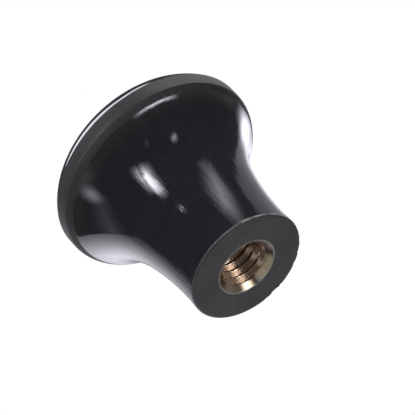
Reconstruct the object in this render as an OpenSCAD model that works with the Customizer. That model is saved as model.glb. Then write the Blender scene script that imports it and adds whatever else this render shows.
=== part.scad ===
// Mushroom knob: a one-piece trumpet-shaped moulding with a blind threaded brass insert in its foot.
// Millimetres. The origin is the centre of the flat foot and +Z runs up the axis to the crown.

/* [Neck] */
// Diameter of the flat foot that bears on the work
base_d = 17.8; // [16:0.2:21]
// Rounding of the foot's edge
base_edge_r = 0.3; // [0.1:0.05:0.8]
// Height of the narrowest place of the neck above the foot
waist_z = 2.6; // [1.4:0.4:4.6]
// Radius of the long hollow curve of the neck
neck_curve_r = 44; // [30:2:50]
// Height at which the neck's curve tightens into the flare
flare_z = 12; // [11.5:0.5:15]
// Radius of the flare under the head
flare_r = 18; // [16:1:22]

/* [Head] */
// Diameter of the head
head_d = 31.75; // [28.5:0.25:38]
// Radius between the flare and the band
shoulder_r = 2.3; // [0.5:0.3:3.2]
// Height of the ground band round the head
band_h = 1.3; // [0.5:0.2:3.9]
// Radius of the crown's edge above the band
crown_edge_r = 7.3; // [5.3:0.5:8.8]
// Slope at which the crown leaves the band, in degrees from upright
crown_start = 25; // [10:5:40]
// Radius of the shallow dome on top
dome_r = 36; // [24:4:60]

/* [Insert] */
// Outside diameter of the brass insert
insert_d = 9.3; // [8.9:0.1:11]
// Length of the insert, flush with the foot
insert_len = 14; // [12.6:0.2:17]
// Width of the groove that keys the insert into the moulding
key_groove_w = 3; // [1.5:0.1:4]
// Depth of that groove
key_groove_depth = 0.6; // [0.3:0.05:0.8]
// Chamfer on the insert's inner end
insert_end_chamfer = 0.5; // [0.2:0.05:1]

/* [Thread] */
// Bore at the crests of the thread (5/16-18 UNC)
bore_d = 6.6; // [6:0.05:7]
// Depth of the bore to the shoulder of its drill point
bore_depth = 11; // [8:0.1:11.5]
// Diameter of the countersink at the mouth
countersink_d = 8.9; // [8:0.05:8.9]
// Included angle of the drill point
drill_angle = 118; // [90:1:140]

/* [Hidden] */
$fn = 128;

base_r = base_d / 2;
head_r = head_d / 2;
insert_r = insert_d / 2;
bore_r = bore_d / 2;
countersink_r = countersink_d / 2;

// The neck's circle passes through the foot's edge and is narrowest at the waist
neck_c = [base_r + sqrt(neck_curve_r ^ 2 - waist_z ^ 2), waist_z];
// The flare's circle touches the neck's from the inside where the curve tightens
flare_turn = asin((flare_z - waist_z) / neck_curve_r);
flare_c = neck_c + (neck_curve_r - flare_r) * [-cos(flare_turn), sin(flare_turn)];
// The shoulder touches the flare from the outside and the band from the inside
shoulder_x = head_r - shoulder_r;
shoulder_c = [shoulder_x, flare_c.y + sqrt((flare_r + shoulder_r) ^ 2 - (flare_c.x - shoulder_x) ^ 2)];
shoulder_foot = flare_c + (shoulder_c - flare_c) * flare_r / (flare_r + shoulder_r);
band_low = shoulder_c.y;
band_top = band_low + band_h;
// The foot's edge touches the neck from the outside and the foot's plane from above
edge_c = [neck_c.x - sqrt((neck_curve_r + base_edge_r) ^ 2 - (waist_z - base_edge_r) ^ 2), base_edge_r];
edge_top = neck_c + (edge_c - neck_c) * neck_curve_r / (neck_curve_r + base_edge_r);
// The crown's edge starts at the band's sharp corner and runs into the dome
crown_edge_c = [head_r, band_top] - crown_edge_r * [cos(crown_start), sin(crown_start)];
dome_reach = dome_r - crown_edge_r;
dome_z = crown_edge_c.y - sqrt(dome_reach ^ 2 - crown_edge_c.x ^ 2);
dome_edge_r = crown_edge_c.x * dome_r / dome_reach;
overall_h = dome_z + dome_r;

countersink_depth = countersink_r - bore_r;
drill_point_h = bore_r / tan(drill_angle / 2);
key_groove_z = (insert_len - key_groove_w) / 2;
// Overlap that lets a cut pass clean through a face
cut = 1;

// Blank under the crown, hollowed by the neck's and the flare's circles
module stem_half() {
    difference() {
        square([head_r, band_top]);
        intersection() {
            translate(neck_c) circle(neck_curve_r);
            translate([0, -cut]) square([head_r + cut, flare_z + cut]);
        }
        intersection() {
            translate(flare_c) circle(flare_r);
            translate([0, flare_z]) square([head_r + cut, band_top - flare_z]);
        }
    }
}

// Sliver left outside a round that touches both sides of a corner
module corner_waste(centre, touch_a, corner, touch_b, r) {
    difference() {
        polygon([centre, touch_a, corner, touch_b]);
        translate(centre) circle(r);
    }
}

module crown_half() {
    intersection() {
        translate([0, dome_z]) circle(dome_r);
        union() {
            translate(crown_edge_c) circle(crown_edge_r);
            square([dome_edge_r, overall_h]);
        }
        translate([0, band_top]) square([head_r, overall_h]);
    }
}

module body_half() {
    difference() {
        stem_half();
        corner_waste(shoulder_c, [head_r, band_low], [head_r + cut, shoulder_foot.y - cut],
                     shoulder_foot, shoulder_r);
        corner_waste(edge_c, [edge_c.x, 0], [base_r + cut, -cut], edge_top, base_edge_r);
    }
    crown_half();
}

// Outside of the insert, which is also the socket that the moulding forms round it
module insert_half() {
    difference() {
        square([insert_r, insert_len]);
        translate([insert_r - key_groove_depth, key_groove_z]) square([key_groove_depth + cut, key_groove_w]);
        translate([insert_r, insert_len]) rotate(45) square(insert_end_chamfer * sqrt(2), center = true);
    }
}

// Countersunk mouth, bore and drill point
module bore_half() {
    polygon([
        [0, -cut],
        [countersink_r + cut, -cut],
        [bore_r, countersink_depth],
        [bore_r, bore_depth],
        [0, bore_depth + drill_point_h],
    ]);
}

module knob_body() {
    color("#1e1e22")
        rotate_extrude()
            difference() {
                body_half();
                insert_half();
            }
}

module threaded_insert() {
    color("#b08d4a")
        rotate_extrude()
            difference() {
                insert_half();
                bore_half();
            }
}

knob_body();
threaded_insert();
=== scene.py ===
from math import asin, atan2, cos, exp, hypot, pi, radians, sin, sqrt, tan

import bmesh
import bpy
from mathutils import Matrix, Vector, noise


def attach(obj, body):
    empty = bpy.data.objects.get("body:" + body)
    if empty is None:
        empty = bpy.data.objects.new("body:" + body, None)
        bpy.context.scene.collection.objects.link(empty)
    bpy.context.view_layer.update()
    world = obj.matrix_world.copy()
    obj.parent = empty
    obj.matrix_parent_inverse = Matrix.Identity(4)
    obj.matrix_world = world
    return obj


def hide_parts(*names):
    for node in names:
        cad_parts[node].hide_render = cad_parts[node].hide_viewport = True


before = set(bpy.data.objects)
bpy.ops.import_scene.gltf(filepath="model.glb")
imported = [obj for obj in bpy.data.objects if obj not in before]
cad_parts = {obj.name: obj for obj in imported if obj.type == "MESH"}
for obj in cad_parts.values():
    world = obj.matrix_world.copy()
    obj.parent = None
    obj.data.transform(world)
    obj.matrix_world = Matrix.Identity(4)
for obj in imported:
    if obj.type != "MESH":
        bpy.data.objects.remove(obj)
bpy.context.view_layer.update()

# Sizes of the knob, in metres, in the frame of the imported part
MM = 0.001
BASE_R = 8.9 * MM
BASE_EDGE_R = 0.3 * MM
WAIST_Z = 2.6 * MM
NECK_CURVE_R = 44 * MM
FLARE_Z = 12 * MM
FLARE_R = 18 * MM
HEAD_R = 15.875 * MM
SHOULDER_R = 2.3 * MM
BAND_H = 1.3 * MM
CROWN_EDGE_R = 7.3 * MM
CROWN_START = radians(25)
DOME_R = 36 * MM
INSERT_R = 4.65 * MM
INSERT_LEN = 14 * MM
KEY_GROOVE_W = 3 * MM
KEY_GROOVE_DEPTH = 0.6 * MM
INSERT_END_CHAMFER = 0.5 * MM
BORE_R = 3.3 * MM
BORE_DEPTH = 11 * MM
COUNTERSINK_R = 4.45 * MM
DRILL_ANGLE = radians(118)

# The 5/16-18 thread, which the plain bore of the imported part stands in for; its start is a share of a turn
THREAD_PITCH = 25.4 * MM / 18
THREAD_MAJOR_R = 7.938 * MM / 2
THREAD_END = 10.2 * MM
THREAD_START = 0.01
# Shares of half a pitch that are flat at the groove's root and sloped on its flank; the rest is flat crest
ROOT_FLAT = 0.07
FLANK = 0.87
# Shares of the pitch over which the groove runs out at its end, and over which it blends into the countersink
RUN_OUT = 0.8
MOUTH_BLEND = 0.1
BORE_SIZES = {
    "Bore radius": BORE_R,
    "Major radius": THREAD_MAJOR_R,
    "Pitch": THREAD_PITCH,
    "Thread end": THREAD_END,
    "Bore depth": BORE_DEPTH,
    "Point height": BORE_R / tan(DRILL_ANGLE / 2),
    "Countersink radius": COUNTERSINK_R,
    "Start": THREAD_START,
}

# Chips broken off one side of the foot's edge: their place, their widths, the part of the edge that is
# spared, and how far they reach in over the foot and up the neck
CHIP_SIDE = radians(76)
CHIP_SPREAD = radians(26)
CHIP_DEEPEST = 0.5 * MM
CHIP_WIDE = radians(7)
CHIP_NARROW = radians(2.5)
CHIP_SPARED = 0.2
CHIP_STRIP = 0.9 * MM
CHIP_RISE = 0.6 * MM
CHIP_TOP_Z = 1.2 * MM

# Heights between which the moulding's finish changes: the neck's ripples die out, the gloss greys with a
# painted sheen and turns dull under the rim, and the crown is glossy again. A painted highlight line marks
# the start of the ground rim.
RIPPLE_FADE_Z = (9 * MM, 19 * MM)
PAINTED_SHEEN_Z = (19.4 * MM, 21.5 * MM)
DULL_Z = (21.1 * MM, 21.5 * MM)
CROWN_GLOSS_Z = (23.5 * MM, 24 * MM)
PAINTED_LINE_Z = 22.25 * MM
PAINTED_LINE_FADE = (0.03 * MM, 0.12 * MM)
# Heights over which the painted highlight on the foot's edge fades in
EDGE_HIGHLIGHT_Z = (0.05 * MM, 0.13 * MM)

# Where the brass changes: past its sanded face, past the countersunk mouth, and away from the thread's crests
FACE_FADE_Z = (0.01 * MM, 0.06 * MM)
MOUTH_FADE_Z = (0.9 * MM, 1.2 * MM)
CREST_FADE_R = (BORE_R + 0.01 * MM, BORE_R + 0.07 * MM)

# Sides on which the foot's edge has a painted highlight, the rim has painted sheen and shade, the countersink
# is rubbed bright and darkened by a stain with painted shade, and the bore has painted shade
EDGE_HIGHLIGHT_SIDE = radians(322)
SHEEN_AND_SHADE_SIDE = radians(340)
RUBBED_SIDE = radians(61)
STAIN_AND_SHADE_SIDE = radians(5)
SHADED_BORE_SIDE = radians(165)

# Fineness of the meshes; the bore's rings lie closer towards its mouth
TURN_STEPS = 288
BORE_STEPS = 300
RING_CROWDING = 1.4
MERGE_DISTANCE = 0.0005 * MM
RIM_MARGIN = 0.01 * MM

# The photograph's view: picture size, focal length and the foot's centre in pixels, then angles and distance
PICTURE = 415
FOCAL_PX = 2400
FOOT_PX = Vector((247.0, 267.2))
AXIS_TO_SIGHT = radians(52.46)
AXIS_LEAN = radians(226.62)
FOOT_DEPTH = 329.3 * MM
SENSOR = 36.0
CLIP_START = 10 * MM

# The studio: lamps round the knob's middle, the floor, and the levels of the room that the panels stand in
MIDDLE = Vector((0, 0, 15 * MM))
LAMP_DISTANCE = 0.5
FLOOR_HALF = 1.5
FLOOR_Z = -0.05 * MM
MATT_LEVEL = 0.6
ROOM_LEVEL = 0.08
ROOM_TINT = (0.95, 0.955, 1.05, 1)
WHITE = (1, 1, 1, 1)
# Cosine of the angle from a panel's middle past which the panel isn't drawn
PANEL_LIMIT = 0.2
# Half width of the soft line, as a cosine, at which the sweep ends
SWEEP_BLUR = 0.02

# Places of the colour sockets of a Mix node
MIX_FIRST, MIX_SECOND, MIX_RESULT = 6, 7, 2


class Wire:
    """An output socket that can be used in sums; each operator adds one Math node to its tree."""

    def __init__(self, tree, socket):
        self.tree = tree
        self.socket = socket

    def math(self, operation, *values):
        """One Math node in the wire's tree, with its values in order."""
        node = self.tree.nodes.new("ShaderNodeMath")
        node.operation = operation
        for slot, value in zip(node.inputs, values):
            plug(self.tree, slot, value)
        return Wire(self.tree, node.outputs[0])

    def __add__(self, other):
        return self.math("ADD", self, other)

    def __radd__(self, other):
        return self.math("ADD", other, self)

    def __sub__(self, other):
        return self.math("SUBTRACT", self, other)

    def __rsub__(self, other):
        return self.math("SUBTRACT", other, self)

    def __mul__(self, other):
        return self.math("MULTIPLY", self, other)

    def __truediv__(self, other):
        return self.math("DIVIDE", self, other)

    def __pow__(self, other):
        return self.math("POWER", self, other)

    def __abs__(self):
        return self.math("ABSOLUTE", self)

    def fraction(self):
        return self.math("FRACT", self)

    def at_least(self, other):
        return self.math("MAXIMUM", self, other)

    def at_most(self, other):
        return self.math("MINIMUM", self, other)

    def clamped(self):
        return self.at_least(0.0).at_most(1.0)


def plug(tree, slot, value):
    """Link a wire to a socket, or set the socket's own value."""
    if isinstance(value, Wire):
        tree.links.new(value.socket, slot)
    else:
        slot.default_value = value


class Bench:
    """A node tree to build on."""

    def __init__(self, tree):
        self.tree = tree

    def add(self, kind, sockets=None, out=0, **settings):
        """One node: its settings first, then its sockets' values or links; gives back one of its outputs."""
        node = self.tree.nodes.new(kind)
        for name, value in settings.items():
            setattr(node, name, value)
        for name, value in (sockets or {}).items():
            plug(self.tree, node.inputs[name], value)
        return Wire(self.tree, node.outputs[out]) if node.outputs else None

    def place(self):
        """Object coordinates of the point that is shaded."""
        return self.add("ShaderNodeTexCoord", out="Object")

    def split(self, vector):
        """The x, y and z of a vector."""
        node = self.tree.nodes.new("ShaderNodeSeparateXYZ")
        plug(self.tree, node.inputs[0], vector)
        return [Wire(self.tree, socket) for socket in node.outputs]

    def along(self, vector, direction):
        """How far a vector reaches along a direction."""
        sockets = {0: vector, 1: direction}
        return self.add("ShaderNodeVectorMath", sockets, out="Value", operation="DOT_PRODUCT")

    def reach(self, place, side, radius):
        """How far a place lies towards a side, as a share of the radius."""
        return self.along(place, Vector((cos(side), sin(side), 0)) / radius)

    def blend(self, factor, first, second):
        """Colour that goes from the first to the second as the factor rises."""
        sockets = {"Factor": factor, MIX_FIRST: first, MIX_SECOND: second}
        return self.add("ShaderNodeMix", sockets, out=MIX_RESULT, data_type="RGBA")

    def grain(self, place, scale, detail=2.0, roughness=0.5):
        """Noise from 0 to 1."""
        sockets = {"Vector": place, "Scale": scale, "Detail": detail, "Roughness": roughness}
        return self.add("ShaderNodeTexNoise", sockets)

    def stretched(self, place, scale, turn=0.0):
        """A place turned about the axis and scaled by its own amount each way."""
        return self.add("ShaderNodeMapping", {"Vector": place, "Scale": scale, "Rotation": (0, 0, turn)})

    def ramp(self, value, start, end):
        """Goes smoothly from 0 at the start to 1 at the end, and stays level beyond both."""
        sockets = {"Value": value, "From Min": start, "From Max": end}
        return self.add("ShaderNodeMapRange", sockets, interpolation_type="SMOOTHSTEP")


def new_material(name):
    """An empty material and the bench to build it on."""
    material = bpy.data.materials.new(name)
    material.use_nodes = True
    material.node_tree.nodes.clear()
    return material, Bench(material.node_tree)


def finish_material(bench, height, bump_reach, sockets):
    """Principled surface with a bump of the given height field."""
    bump = bench.add("ShaderNodeBump", {"Height": height, "Distance": bump_reach, "Strength": 1.0})
    surface = bench.add("ShaderNodeBsdfPrincipled", {"Normal": bump, **sockets})
    bench.add("ShaderNodeOutputMaterial", {"Surface": surface})


def gloss_moulding():
    """Polished black phenolic, faintly rippled along the axis and smudged; it greys with a painted sheen and
    turns dull under the rim.
    """
    material, bench = new_material("gloss_moulding")
    place = bench.place()
    _, _, height = bench.split(place)
    neck = 1 - bench.ramp(height, *RIPPLE_FADE_Z)
    under_crown = 1 - bench.ramp(height, *CROWN_GLOSS_Z)
    wave = bench.grain(place, 200, detail=1)
    ripple = bench.grain(bench.stretched(place, (800, 800, 90)), 1) * (0.6 + neck * 6)
    peel = bench.grain(place, 2800, detail=0) * (0.2 + neck * 0.15)
    smudge = bench.ramp(bench.grain(place, 420, detail=4, roughness=0.65), 0.45, 0.75)
    mottle = bench.grain(place, 2200, detail=3, roughness=0.6)
    dull = bench.ramp(height, *DULL_Z) * under_crown
    # Painted sheen: the gloss greys just below the rim
    painted_sheen = bench.ramp(height, *PAINTED_SHEEN_Z) * under_crown * 0.6
    polished = bench.blend(smudge, (0.0116, 0.0114, 0.0142, 1), (0.0156, 0.0154, 0.0190, 1))
    ground_off = bench.blend(mottle, (0.012, 0.012, 0.0135, 1), (0.040, 0.040, 0.042, 1))
    finish_material(bench, wave + ripple + peel, 0.008 * MM, {
        "Base Color": bench.blend(dull.at_least(painted_sheen), polished, ground_off),
        "Roughness": 0.035 + smudge * 0.05 + dull * 0.5,
        "IOR": 1.58,
    })
    return material


def ground_rim(name, dark, pale, painted_side_tone, roughness, painted_line_strength):
    """Rim ground after moulding: fine lines round the head, and a painted highlight line of some strength at
    its start.

    One side of the rim has painted light: its pale lines take a tone of their own, a painted sheen on the
    band and painted shade on the shoulder.
    """
    material, bench = new_material(name)
    place = bench.place()
    _, _, height = bench.split(place)
    lines = bench.grain(bench.stretched(place, (90, 90, 9000)), 1, detail=3, roughness=0.6)
    mottle = bench.grain(place, 2200, detail=3, roughness=0.6)
    # Painted highlight line along the start of the ground rim
    start = 1 - bench.ramp(abs(height - PAINTED_LINE_Z), *PAINTED_LINE_FADE)
    shade = (lines * 0.6 + mottle * 0.4 + start * painted_line_strength).clamped()
    # Painted light on one side of the rim: a paler painted sheen on the band, darker painted shade on the
    # shoulder
    painted_side = bench.ramp(bench.reach(place, SHEEN_AND_SHADE_SIDE, HEAD_R), 0.55, 1.1)
    finish_material(bench, lines + mottle * 0.4, 0.012 * MM, {
        "Base Color": bench.blend(shade, dark, bench.blend(painted_side, pale, painted_side_tone)),
        "Roughness": roughness + lines * 0.16,
        "Specular IOR Level": 0.3,
    })
    return material


def sanded_foot():
    """Sanded face of the foot, with short scratches both ways and a little pale dust."""
    material, bench = new_material("sanded_foot")
    place = bench.place()
    one_way = bench.stretched(place, (260, 5200, 1), radians(24))
    other_way = bench.stretched(place, (4800, 300, 1), radians(52))
    scratches = (bench.grain(one_way, 1, detail=3, roughness=0.6) * 0.5
                 + bench.grain(other_way, 1, detail=3, roughness=0.6) * 0.5)
    mottle = bench.grain(place, 520, detail=3, roughness=0.6)
    dust = bench.ramp(bench.grain(place, 4200, detail=1), 0.70, 0.80)
    cloud = bench.ramp(bench.grain(place, 130), 0.3, 0.7)
    shade = (scratches * 0.3 + mottle * 0.3 + cloud * 0.45 + dust).clamped()
    finish_material(bench, scratches + mottle * 0.5, 0.01 * MM, {
        "Base Color": bench.blend(shade, (0.041, 0.041, 0.045, 1), (0.080, 0.080, 0.088, 1)),
        "Roughness": 0.55 + mottle * 0.15,
        "IOR": 1.45,
    })
    return material


def painted_highlight_edge():
    """Rounded edge of the foot: dark, with a patchy painted highlight along one side."""
    material, bench = new_material("painted_highlight_edge")
    place = bench.place()
    _, _, height = bench.split(place)
    patchy = bench.grain(place, 900, detail=3, roughness=0.6)
    near_side = bench.ramp(bench.reach(place, EDGE_HIGHLIGHT_SIDE, BASE_R), 0.55, 0.95)
    # Patchy painted highlight along one side of the edge
    edge_highlight = near_side * bench.ramp(patchy, 0.3, 0.5) * bench.ramp(height, *EDGE_HIGHLIGHT_Z)
    finish_material(bench, patchy, 0.01 * MM, {
        "Base Color": bench.blend(edge_highlight, (0.046, 0.046, 0.050, 1), (0.24, 0.24, 0.23, 1)),
        "Roughness": 0.5 + edge_highlight * 0.1,
        "IOR": 1.5,
    })
    return material


def turned_brass():
    """Machined brass with turning lines: brown down the bore, pale where it was sanded with the foot, with
    painted shade down one side of the bore and on the countersink.
    """
    material, bench = new_material("turned_brass")
    place = bench.place()
    x, y, height = bench.split(place)
    radius = (x * x + y * y) ** 0.5
    lines = bench.grain(bench.stretched(place, (120, 120, 12000)), 1, roughness=0.6)
    patchy = bench.grain(place, 640, detail=4, roughness=0.6)
    tarnish = bench.ramp(patchy, 0.38, 0.72)
    uneven = (patchy - 0.5) * 0.12

    def towards(side):
        return (x * cos(side) + y * sin(side)) / radius + uneven

    mouth = 1 - bench.ramp(height, *MOUTH_FADE_Z)
    rubbed = bench.ramp(towards(RUBBED_SIDE), 0.80, 0.95) * mouth
    # Dark patch on the countersink: a brown stain, and painted shade that holds back a reflection there
    stain_and_shade = bench.ramp(towards(STAIN_AND_SHADE_SIDE), 0.80, 0.92) * mouth
    # Painted shade down one side of the bore
    bore_shade = bench.ramp(towards(SHADED_BORE_SIDE), 0.3, 0.8) * (1 - mouth)
    crest = 1 - bench.ramp(radius, *CREST_FADE_R)
    pits = bench.ramp(bench.grain(place, 7000, detail=3, roughness=0.6), 0.4, 0.7)
    face = 1 - bench.ramp(height, *FACE_FADE_Z)
    bright = bench.blend(pits, (0.98, 0.87, 0.62, 1), (0.56, 0.45, 0.28, 1))
    colour = bench.blend(tarnish, (0.74, 0.545, 0.36, 1), (0.47, 0.305, 0.19, 1))
    for share, shade in ((bore_shade * 0.5, (0.22, 0.13, 0.075, 1)), (mouth, (0.44, 0.34, 0.23, 1)),
                         (stain_and_shade, (0.12, 0.09, 0.08, 1)), (rubbed, bright),
                         (crest, (0.84, 0.70, 0.48, 1)), (face, (0.64, 0.61, 0.56, 1))):
        colour = bench.blend(share, colour, shade)
    finish_material(bench, lines * mouth, 0.001 * MM, {
        "Base Color": colour,
        "Metallic": 1.0,
        "Roughness": 0.18 + tarnish * 0.06 + rubbed * 0.4 + stain_and_shade * 0.2 + face * 0.2,
    })
    return material


def arc(centre, radius, start, end, steps):
    """Points of an arc after its first one."""
    turns = [start + (end - start) * k / steps for k in range(1, steps + 1)]
    return [(centre[0] + radius * cos(t), centre[1] + radius * sin(t)) for t in turns]


def straight(start, end, steps):
    """Points of a straight stretch after its first one."""
    shares = [k / steps for k in range(1, steps + 1)]
    return [tuple(a + (b - a) * share for a, b in zip(start, end)) for share in shares]


def angle_from(centre, point):
    return atan2(point[1] - centre[1], point[0] - centre[0])


def insert_outside():
    """Outline of the insert from its mouth's rim to the middle of its inner end."""
    groove_low = (INSERT_LEN - KEY_GROOVE_W) / 2
    groove_high = groove_low + KEY_GROOVE_W
    groove_r = INSERT_R - KEY_GROOVE_DEPTH
    return [
        (INSERT_R, 0),
        (INSERT_R, groove_low),
        (groove_r, groove_low),
        (groove_r, groove_high),
        (INSERT_R, groove_high),
        (INSERT_R, INSERT_LEN - INSERT_END_CHAMFER),
        (INSERT_R - INSERT_END_CHAMFER, INSERT_LEN),
        (0, INSERT_LEN),
    ]


def moulding_outline():
    """Outline of the moulding from the socket's end, out over the foot and up to the crown.

    Each entry is (radius, height, finish), where the finish is that of the stretch that ends there.
    """
    neck_c = (BASE_R + sqrt(NECK_CURVE_R**2 - WAIST_Z**2), WAIST_Z)
    flare_turn = asin((FLARE_Z - WAIST_Z) / NECK_CURVE_R)
    reach = NECK_CURVE_R - FLARE_R
    flare_c = (neck_c[0] - reach * cos(flare_turn), neck_c[1] + reach * sin(flare_turn))
    shoulder_x = HEAD_R - SHOULDER_R
    shoulder_rise = sqrt((FLARE_R + SHOULDER_R)**2 - (flare_c[0] - shoulder_x)**2)
    shoulder_c = (shoulder_x, flare_c[1] + shoulder_rise)
    band_low = shoulder_c[1]
    band_top = band_low + BAND_H
    edge_reach = sqrt((NECK_CURVE_R + BASE_EDGE_R)**2 - (WAIST_Z - BASE_EDGE_R)**2)
    edge_c = (neck_c[0] - edge_reach, BASE_EDGE_R)
    crown_c = (HEAD_R - CROWN_EDGE_R * cos(CROWN_START), band_top - CROWN_EDGE_R * sin(CROWN_START))
    dome_reach = DOME_R - CROWN_EDGE_R
    dome_c = (0, crown_c[1] - sqrt(dome_reach**2 - crown_c[0]**2))
    dome_start = angle_from(dome_c, crown_c)
    neck_start = angle_from(neck_c, edge_c) % (2 * pi)
    shoulder_start = angle_from(shoulder_c, flare_c)
    matt_turn = -asin((band_low - PAINTED_LINE_Z) / SHOULDER_R)

    foot = straight((INSERT_R, 0), (edge_c[0], 0), steps=14)
    edge = arc(edge_c, BASE_EDGE_R, -pi / 2, angle_from(edge_c, neck_c), steps=5)
    neck = arc(neck_c, NECK_CURVE_R, neck_start, pi - flare_turn, steps=40)
    flare = arc(flare_c, FLARE_R, pi - flare_turn, angle_from(flare_c, shoulder_c), steps=60)
    shoulder = arc(shoulder_c, SHOULDER_R, shoulder_start, matt_turn, steps=10)
    band = (arc(shoulder_c, SHOULDER_R, matt_turn, 0, steps=8)
            + straight((HEAD_R, band_low), (HEAD_R, band_top), steps=5))
    crown = arc(crown_c, CROWN_EDGE_R, CROWN_START, dome_start, steps=36)
    dome = arc(dome_c, DOME_R, dome_start, pi / 2, steps=40)
    dome[-1] = (0, dome[-1][1])

    outline = [(r, z, "gloss") for r, z in reversed(insert_outside())]
    for stretch, finish in ((foot, "foot"), (edge, "edge"), (neck, "gloss"), (flare, "gloss"),
                            (shoulder, "shoulder"), (band, "band"), (crown, "gloss"), (dome, "gloss")):
        outline += [(r, z, finish) for r, z in stretch]
    return outline


def chip_depth(angle):
    """How far the foot's edge is broken back, as a share of the deepest chip: steps on one side only."""
    off = (angle - CHIP_SIDE + pi) % (2 * pi) - pi
    side = exp(-off**2 / (2 * CHIP_SPREAD**2))
    wide = noise.cell(Vector((angle / CHIP_WIDE, 0.5, 0.5)))
    narrow = noise.cell(Vector((angle / CHIP_NARROW, 7.5, 0.5)))
    return side * max(0.0, 0.65 * wide + 0.35 * narrow - CHIP_SPARED)


def chip_shift(angle, r, z):
    """How far a point is broken back: from the foot's outer strip, over its edge and up the neck."""
    strip_r = BASE_R - CHIP_STRIP
    if r < strip_r or z > CHIP_TOP_Z:
        return 0
    share = min(1.0, (r - strip_r) / CHIP_RISE) * max(0.0, 1 - z / CHIP_TOP_Z)
    return chip_depth(angle) * CHIP_DEEPEST * share


def turned(outline, shift=None):
    """Mesh data of an outline turned about the axis, with its points shifted in by a rule."""
    verts, rings = [], []
    for r, z, _ in outline:
        if r == 0:
            rings.append([len(verts)])
            verts.append((0, 0, z))
            continue
        ring = []
        for k in range(TURN_STEPS):
            angle = 2 * pi * k / TURN_STEPS
            left = r - (shift(angle, r, z) if shift else 0)
            ring.append(len(verts))
            verts.append((left * cos(angle), left * sin(angle), z))
        rings.append(ring)
    faces, finishes = [], []
    for low, high, (_, _, finish) in zip(rings, rings[1:], outline[1:]):
        for k in range(TURN_STEPS):
            n = (k + 1) % TURN_STEPS
            if len(low) == 1:
                face = (low[0], high[n], high[k])
            elif len(high) == 1:
                face = (low[k], low[n], high[0])
            else:
                face = (low[k], low[n], high[n], high[k])
            faces.append(face)
            finishes.append(finish)
    return verts, faces, finishes


def outward(mesh):
    """Merge doubles and point every face out of the solid."""
    work = bmesh.new()
    work.from_mesh(mesh)
    bmesh.ops.remove_doubles(work, verts=work.verts, dist=MERGE_DISTANCE)
    bmesh.ops.recalc_face_normals(work, faces=work.faces)
    work.to_mesh(mesh)
    work.free()


def sharpen(mesh, limit, is_rounded=None):
    """Mark the edges where faces meet at more than the limit as sharp, but for those of rounded places."""
    work = bmesh.new()
    work.from_mesh(mesh)
    for edge in work.edges:
        rounded = is_rounded and all(is_rounded(vert.co) for vert in edge.verts)
        edge.smooth = bool(rounded) or edge.calc_face_angle(0.0) < limit
    work.to_mesh(mesh)
    work.free()


def add_piece(name, mesh, node):
    """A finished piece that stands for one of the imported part's nodes."""
    piece = bpy.data.objects.new(name, mesh)
    bpy.context.scene.collection.objects.link(piece)
    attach(piece, "root")
    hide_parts(node)


def moulding():
    """The black moulding, with a finish for each stretch of its outline."""
    finishes = {
        "gloss": gloss_moulding(),
        "foot": sanded_foot(),
        "edge": painted_highlight_edge(),
        # On one side the shoulder's tone is painted shade and the band's a painted sheen; the band also has a
        # painted highlight line
        "shoulder": ground_rim(
            "ground_shoulder", dark=(0.012, 0.012, 0.0135, 1), pale=(0.043, 0.043, 0.045, 1),
            painted_side_tone=(0.026, 0.026, 0.028, 1), roughness=0.6, painted_line_strength=0.0),
        "band": ground_rim(
            "ground_band", dark=(0.012, 0.012, 0.013, 1), pale=(0.067, 0.067, 0.069, 1),
            painted_side_tone=(0.22, 0.22, 0.222, 1), roughness=0.42, painted_line_strength=0.35),
    }
    slots = list(finishes)
    verts, faces, marks = turned(moulding_outline(), chip_shift)
    mesh = bpy.data.meshes.new("knob_moulding")
    mesh.from_pydata(verts, [], faces)
    for material in finishes.values():
        mesh.materials.append(material)
    for face, mark in zip(mesh.polygons, marks):
        face.material_index = slots.index(mark)
        face.use_smooth = True
    outward(mesh)
    sharpen(mesh, radians(20))
    add_piece("knob_moulding", mesh, "knob_body")


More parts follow.
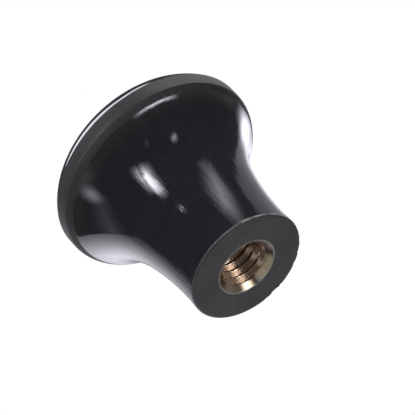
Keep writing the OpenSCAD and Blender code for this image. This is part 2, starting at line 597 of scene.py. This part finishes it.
def bore_tree(brass):
    """Skin of the countersunk, threaded bore: a grid rolled up, with the thread's groove cut by a rule."""
    tree = bpy.data.node_groups.new("threaded_bore", "GeometryNodeTree")
    sockets = {}
    for name in BORE_SIZES:
        socket = tree.interface.new_socket(name, in_out="INPUT", socket_type="NodeSocketFloat")
        sockets[name] = socket.identifier
    tree.interface.new_socket("Skin", in_out="OUTPUT", socket_type="NodeSocketGeometry")
    bench = Bench(tree)
    entry = tree.nodes.new("NodeGroupInput")
    size = {name: Wire(tree, entry.outputs[name]) for name in BORE_SIZES}

    # The grid spans from -0.5 to 0.5: once round the bore one way, from its mouth to its point the other way
    counts = {"Vertices X": TURN_STEPS + 1, "Vertices Y": BORE_STEPS + 1, "Size X": 1.0, "Size Y": 1.0}
    grid = bench.add("GeometryNodeMeshGrid", counts)
    across, up, _ = bench.split(bench.add("GeometryNodeInputPosition"))
    turn = (across + 0.5) * (2 * pi)
    full_depth = size["Bore depth"] + size["Point height"]
    depth = (up + 0.5).at_least(0.0) ** RING_CROWDING * full_depth

    # Groove: right-handed, flat at its crests and roots, fading out near its end
    phase = (depth / size["Pitch"] - turn / (2 * pi) + size["Start"] + 1).fraction()
    hollow = 1 - ((abs(phase - 0.5) * 2 - ROOT_FLAT) / FLANK).clamped()
    fade = bench.ramp(depth, size["Thread end"], size["Thread end"] - size["Pitch"] * RUN_OUT)
    groove = hollow * (size["Major radius"] - size["Bore radius"]) * fade
    threaded = size["Bore radius"] + groove
    mouth = size["Countersink radius"] - depth
    wide = threaded.math("SMOOTH_MAX", threaded, mouth, size["Pitch"] * MOUTH_BLEND)
    point = (full_depth - depth) / size["Point height"] * size["Bore radius"]
    radius = wide.at_most(point.at_least(0.0)).at_most(size["Countersink radius"])

    x = radius * turn.math("COSINE", turn)
    y = radius * turn.math("SINE", turn)
    rolled = bench.add("ShaderNodeCombineXYZ", {"X": x, "Y": y, "Z": depth})
    skin = bench.add("GeometryNodeSetPosition", {"Geometry": grid, "Position": rolled})
    skin = bench.add("GeometryNodeRealizeInstances", {"Geometry": skin})
    skin = bench.add("GeometryNodeSetMaterial", {"Geometry": skin, "Material": brass})
    leave = tree.nodes.new("NodeGroupOutput")
    plug(tree, leave.inputs[0], skin)
    return tree, sockets


def bore_skin(brass):
    """The bore's skin as a plain mesh."""
    tree, sockets = bore_tree(brass)
    holder = bpy.data.objects.new("bore_holder", bpy.data.meshes.new("bore_holder"))
    bpy.context.scene.collection.objects.link(holder)
    modifier = holder.modifiers.new("threaded_bore", "NODES")
    modifier.node_group = tree
    for name, value in BORE_SIZES.items():
        modifier[sockets[name]] = value
    graph = bpy.context.evaluated_depsgraph_get()
    mesh = bpy.data.meshes.new_from_object(holder.evaluated_get(graph))
    bpy.data.objects.remove(holder)
    return mesh


def in_bore(place):
    """Whether a place is on the skin of the bore, inside its rim."""
    return RIM_MARGIN < place.z < BORE_DEPTH and hypot(place.x, place.y) < COUNTERSINK_R


def threaded_insert():
    """The brass insert: its turned outside and the skin of its bore, joined at the mouth's rim."""
    brass = turned_brass()
    outline = [(COUNTERSINK_R, 0, "brass")] + [(r, z, "brass") for r, z in insert_outside()]
    verts, faces, _ = turned(outline)
    shell = bpy.data.meshes.new("insert_shell")
    shell.from_pydata(verts, [], faces)
    mesh = bpy.data.meshes.new("brass_insert")
    work = bmesh.new()
    work.from_mesh(shell)
    work.from_mesh(bore_skin(brass))
    work.to_mesh(mesh)
    work.free()
    mesh.materials.append(brass)
    for face in mesh.polygons:
        face.use_smooth = True
        face.material_index = 0
    outward(mesh)
    sharpen(mesh, radians(30), in_bore)
    add_piece("brass_insert", mesh, "threaded_insert")


def photo_camera():
    """Camera of the photograph: it looks up at the foot, with the knob's axis leaning in the picture."""
    up_axis = Vector((sin(AXIS_TO_SIGHT) * cos(AXIS_LEAN), sin(AXIS_TO_SIGHT) * sin(AXIS_LEAN),
                      cos(AXIS_TO_SIGHT)))
    offset = (FOOT_PX - Vector((PICTURE / 2, PICTURE / 2))) / FOCAL_PX
    foot = Vector((offset.x, offset.y, 1.0)) * FOOT_DEPTH
    ahead = (foot - foot.dot(up_axis) * up_axis).normalized()
    side = ahead.cross(up_axis)
    # Rows are the knob's axes, seen in picture axes: right, down, away
    seen = Matrix((side, ahead, up_axis))
    place = seen @ -foot
    # A camera's own axes are right, up and back
    turn = seen @ Matrix(((1, 0, 0), (0, -1, 0), (0, 0, -1)))
    data = bpy.data.cameras.new("photo_camera")
    data.sensor_width = SENSOR
    data.lens = FOCAL_PX / PICTURE * SENSOR
    data.clip_start = CLIP_START
    camera = bpy.data.objects.new("photo_camera", data)
    camera.matrix_world = Matrix.Translation(place) @ turn.to_4x4()
    bpy.context.scene.collection.objects.link(camera)
    bpy.context.scene.camera = camera
    return turn


def studio_direction(turn, right, up):
    """Direction given as degrees to the right of and above the line from the knob to the viewer."""
    a, b = radians(right), radians(up)
    return turn @ Vector((sin(a) * cos(b), sin(b), cos(a) * cos(b)))


def matt_lamp(turn, name, right, up, size, share):
    """Panel lamp for the matt surfaces and the shadow; at a share of 1 it alone gives the plain level."""
    data = bpy.data.lights.new(name, "AREA")
    data.size = size
    data.energy = share * (pi * LAMP_DISTANCE)**2
    lamp = bpy.data.objects.new(name, data)
    direction = studio_direction(turn, right, up)
    facing = direction.to_track_quat("Z", "Y").to_matrix()
    lamp.matrix_world = Matrix.Translation(MIDDLE + direction * LAMP_DISTANCE) @ facing.to_4x4()
    lamp.visible_glossy = False
    lamp.visible_camera = False
    bpy.context.scene.collection.objects.link(lamp)


def studio_world(turn):
    """White to the camera; mirror rays see a dim room with soft lit panels and a white sweep."""
    world = bpy.data.worlds.new("studio")
    world.use_nodes = True
    bpy.context.scene.world = world
    world.node_tree.nodes.clear()
    bench = Bench(world.node_tree)
    look = bench.add("ShaderNodeTexCoord", out="Generated")

    def panel(right, up, wide, high, roll, soft_wide, soft_high, brightness):
        """Soft-edged panel: half sizes, and half widths of its soft edges, in degrees."""
        ahead = studio_direction(turn, right, up)
        level = (turn @ Vector((0, 1, 0))).cross(ahead).normalized()
        spin = Matrix.Rotation(radians(roll), 3, ahead)
        near = bench.along(look, ahead)
        mask = near.math("GREATER_THAN", near, PANEL_LIMIT)
        for axis, half, soft in ((level, wide, soft_wide), (ahead.cross(level), high, soft_high)):
            off = abs(bench.along(look, spin @ axis) / near)
            edge, blur = tan(radians(half)), tan(radians(soft))
            mask = mask * bench.ramp(off, edge + blur, edge - blur)
        return mask * brightness

    window = panel(-41, 15, 11.5, 5.5, -34, 3.2, 5.2, 9) + panel(-35, 12, 11, 6.7, -24, 7, 9.4, 11.8)
    window_bar = panel(-35, 8, 6.5, 1.9, -10, 11, 1.6, 12)
    side_light = panel(39.5, 8, 9, 0.1, 24, 14, 3.6, 52)
    dim_cards = (panel(-92, -50, 24, 4, 0, 10, 9, 0.45) + panel(3, 16, 3, 1, 0, 3, 3, 0.6)
                 + panel(88, 8, 32, 6, 0, 10, 6, 0.25))
    low_cards = panel(-47, -49, 6, 4, -12, 7, 6, 3.3) + panel(-20, -47, 8, 8, 0, 6, 6, 0.36)
    bulbs = panel(27, 39, 2.6, 0.1, -11, 4.2, 5, 11) + panel(-57, 31, 1.2, 0.1, 59, 2.4, 2, 14)
    overhead = panel(24, 84, 13, 6, -9, 10, 10, 3.4)
    near_half = bench.ramp(bench.along(look, studio_direction(turn, -14.7, -15.9)), -SWEEP_BLUR, SWEEP_BLUR)
    sweep = panel(-171, -42, 0.1, 24, 0, 52, 24, 6) * (1 - near_half)
    back_right = (panel(146, 5, 10, 0.1, -4, 15, 7.7, 15.5) + panel(169, -2, 6.8, 3.5, 0, 10.5, 30, 2.2)
                  + panel(161, 0, 12.7, 62.7, 11, 2.5, 12, 0.47) + panel(147, 8, 7, 4, -4, 4, 6, 1.1))
    back_left = panel(-134, 27, 14, 20, 8, 3, 4, 4.2) + panel(-160, 44, 7, 8, 20, 4, 4, 4)
    lit = (window - window_bar).at_least(0.0) + side_light + dim_cards + low_cards + bulbs + overhead
    mirrored = lit + sweep + back_right + back_left + ROOM_LEVEL

    camera_ray, glossy_ray, clear_ray = (
        bench.add("ShaderNodeLightPath", out=f"Is {kind} Ray")
        for kind in ("Camera", "Glossy", "Transmission"))
    mirror_ray = glossy_ray.at_least(clear_ray)
    unseen = mirror_ray * mirrored + (1 - mirror_ray) * MATT_LEVEL
    strength = camera_ray + (1 - camera_ray) * unseen
    tint = bench.blend(mirror_ray, WHITE, ROOM_TINT)
    shine = bench.add("ShaderNodeBackground", {"Color": tint, "Strength": strength})
    bench.add("ShaderNodeOutputWorld", {"Surface": shine})


def floor():
    """Pale floor under the foot, open to a camera that looks up through it."""
    corners = [(x * FLOOR_HALF, y * FLOOR_HALF, FLOOR_Z) for x, y in ((-1, -1), (1, -1), (1, 1), (-1, 1))]
    mesh = bpy.data.meshes.new("floor")
    mesh.from_pydata(corners, [], [(0, 1, 2, 3)])
    material, bench = new_material("pale_floor")
    speckle = bench.grain(bench.place(), 60, detail=3)
    colour = bench.blend(speckle, (0.86, 0.86, 0.86, 1), (0.90, 0.90, 0.90, 1))
    paper = bench.add("ShaderNodeBsdfDiffuse", {"Color": colour})
    clear = bench.add("ShaderNodeBsdfTransparent")
    from_below = bench.add("ShaderNodeNewGeometry", out="Backfacing")
    surface = bench.add("ShaderNodeMixShader", {0: from_below, 1: paper, 2: clear})
    bench.add("ShaderNodeOutputMaterial", {"Surface": surface})
    mesh.materials.append(material)
    sheet = bpy.data.objects.new("floor", mesh)
    bpy.context.scene.collection.objects.link(sheet)
    sheet.visible_shadow = False
    sheet.visible_diffuse = False
    sheet.visible_glossy = False


def main():
    bpy.context.scene.view_settings.view_transform = "Standard"
    turn = photo_camera()
    moulding()
    threaded_insert()
    floor()
    matt_lamp(turn, "overhead_lamp", right=24, up=80, size=0.3, share=0.4)
    matt_lamp(turn, "window_lamp", right=-40, up=15, size=0.25, share=0.3)
    studio_world(turn)


main()
